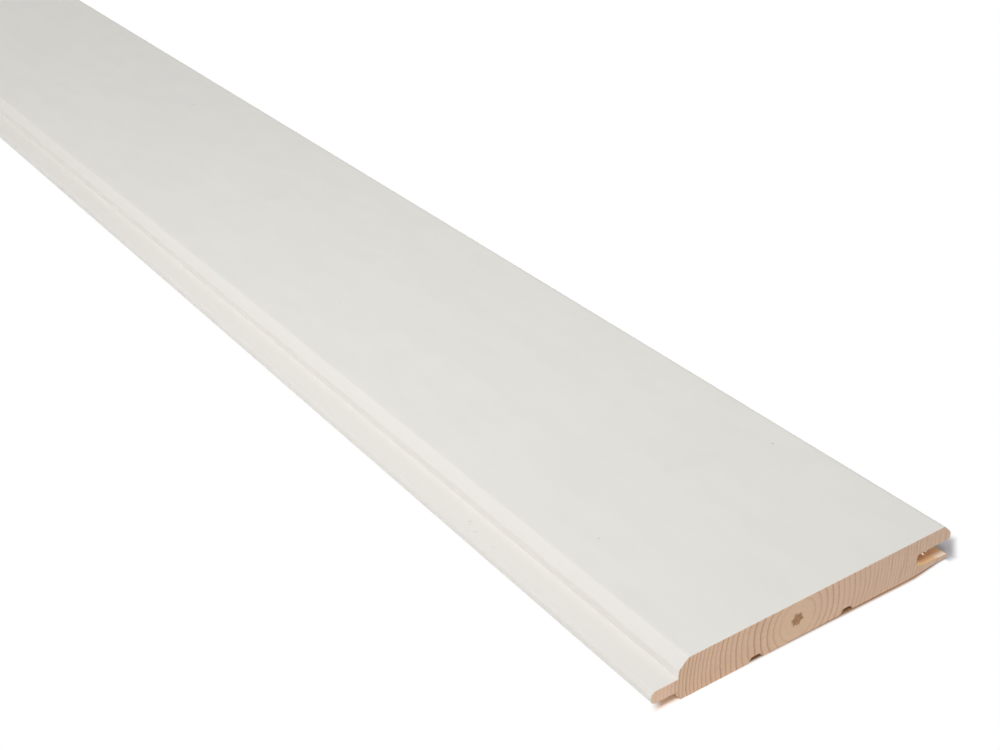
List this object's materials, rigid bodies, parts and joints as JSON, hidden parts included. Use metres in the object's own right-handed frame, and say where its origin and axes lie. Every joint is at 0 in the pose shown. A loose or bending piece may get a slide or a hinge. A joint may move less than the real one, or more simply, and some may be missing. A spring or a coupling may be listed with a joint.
{
  "type": "wall panelling board",
  "caption": "Painted softwood wall panelling board with softly bevelled face edges, a tongue along one long edge and a matching groove along the other.",
  "frame": {"origin": "middle of the back's lowest plane, under the centre of the overall width and length", "axes": "+Y along the board's length, +Z from the back to the painted face, tongue on the -X edge and groove on the +X edge"},
  "size_m": [0.12, 2.4, 0.014],
  "materials": {
    "painted_wood": "warm white satin paint on the face, bevels and tongue, planed bare wood on the back, groove and ends"
  },
  "bodies": {
    "root": {"panelling_board": "painted_wood"}
  },
  "joints": []
}
